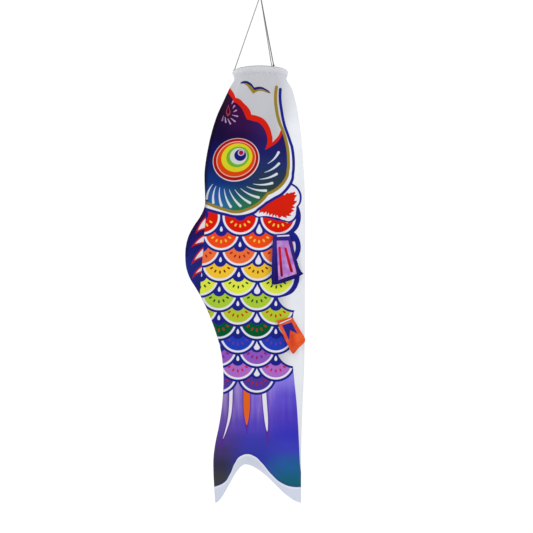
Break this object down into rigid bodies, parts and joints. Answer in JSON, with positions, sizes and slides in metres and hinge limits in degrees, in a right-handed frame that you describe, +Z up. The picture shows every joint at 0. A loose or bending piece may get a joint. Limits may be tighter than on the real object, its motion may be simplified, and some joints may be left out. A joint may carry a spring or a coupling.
{
  "type": "carp streamer",
  "caption": "Hanging carp windsock of printed cloth with a wire mouth hoop, bridle cords, barrel swivel, sewn-on fins and a forked tail.",
  "frame": {"origin": "where the hanging ring bears on its hook, on the flat at the top of the ring's inside", "axes": "+Z up; the carp hangs head up with its back towards -X, its belly towards +X and its right side facing -Y"},
  "size_m": [0.1955, 0.09, 0.8731],
  "materials": {
    "ring_steel": "bright plated",
    "swivel_steel": "satin",
    "swivel_brass": "satin",
    "sleeve_brass": "satin",
    "hoop_steel": "satin",
    "cord": "twisted polyester",
    "cord_knot": "twisted polyester",
    "hem_cloth": "plain woven",
    "sewing_thread": "thread",
    "head_print": "dye-printed woven",
    "scale_print": "dye-printed woven",
    "tail_print": "dye-printed woven",
    "pectoral_print": "dye-printed woven",
    "belly_print": "dye-printed woven"
  },
  "bodies": {
    "hanger": {"hanging_ring": "ring_steel"},
    "upper_eye": {"swivel_upper_eye": "swivel_steel"},
    "barrel": {"swivel_barrel": "swivel_brass"},
    "lower_eye": {"swivel_lower_eye": "swivel_steel"},
    "mouth": {"bridle_loop": "cord", "bridle_knot": "cord_knot", "bridle_cord_left": "cord", "bridle_cord_front": "cord", "bridle_cord_back": "cord", "hoop_knot_left": "cord_knot", "hoop_knot_front": "cord_knot", "hoop_knot_back": "cord_knot", "mouth_hoop": "hoop_steel", "hoop_sleeve": "sleeve_brass", "mouth_hem": "hem_cloth", "hem_thread": "sewing_thread", "right_head_panel": "head_print", "left_head_panel": "head_print"},
    "front_body": {"right_front_body_panel": "scale_print", "left_front_body_panel": "scale_print"},
    "rear_body": {"right_rear_body_panel": "scale_print", "left_rear_body_panel": "scale_print"},
    "tail": {"right_tail_panel": "tail_print", "left_tail_panel": "tail_print"},
    "right_pectoral_fin": {"right_pectoral_fin": "pectoral_print"},
    "right_belly_fin": {"right_belly_fin": "belly_print"},
    "left_pectoral_fin": {"left_pectoral_fin": "pectoral_print"},
    "left_belly_fin": {"left_belly_fin": "belly_print"}
  },
  "joints": [
    {"name": "eye_swing", "type": "hinge", "parent": "hanger", "child": "upper_eye", "pos_m": [0, 0, -0.0136], "axis": [1, 0, 0], "range_deg": [-80, 80]},
    {"name": "barrel_spin", "type": "hinge", "parent": "upper_eye", "child": "barrel", "pos_m": [0, 0, -0.0173], "axis": [0, 0, 1], "continuous": true},
    {"name": "eye_spin", "type": "hinge", "parent": "barrel", "child": "lower_eye", "pos_m": [0, 0, -0.0233], "axis": [0, 0, 1], "continuous": true},
    {"name": "bridle_swing", "type": "hinge", "parent": "lower_eye", "child": "mouth", "pos_m": [0, 0, -0.02855], "axis": [0, 1, 0], "range_deg": [-80, 80]},
    {"name": "front_bend", "type": "hinge", "parent": "mouth", "child": "front_body", "pos_m": [0, 0, -0.39655], "axis": [1, 0, 0], "range_deg": [-30, 30]},
    {"name": "rear_bend", "type": "hinge", "parent": "front_body", "child": "rear_body", "pos_m": [0, 0, -0.54555], "axis": [1, 0, 0], "range_deg": [-35, 35]},
    {"name": "tail_bend", "type": "hinge", "parent": "rear_body", "child": "tail", "pos_m": [0, 0, -0.67055], "axis": [1, 0, 0], "range_deg": [-45, 45]},
    {"name": "right_pectoral_fin_flap", "type": "hinge", "parent": "front_body", "child": "right_pectoral_fin", "pos_m": [0.02191, -0.02007, -0.43355], "axis": [-0.9615, -0.2723, -0.0367], "range_deg": [0, 100]},
    {"name": "right_belly_fin_flap", "type": "hinge", "parent": "rear_body", "child": "right_belly_fin", "pos_m": [0.02676, -0.01615, -0.57355], "axis": [-0.9467, -0.2308, -0.2245], "range_deg": [0, 100]},
    {"name": "left_pectoral_fin_flap", "type": "hinge", "parent": "front_body", "child": "left_pectoral_fin", "pos_m": [0.02191, 0.02007, -0.43355], "axis": [0.9615, -0.2723, 0.0367], "range_deg": [0, 100]},
    {"name": "left_belly_fin_flap", "type": "hinge", "parent": "rear_body", "child": "left_belly_fin", "pos_m": [0.02676, 0.01615, -0.57355], "axis": [0.9467, -0.2308, 0.2245], "range_deg": [0, 100]}
  ]
}
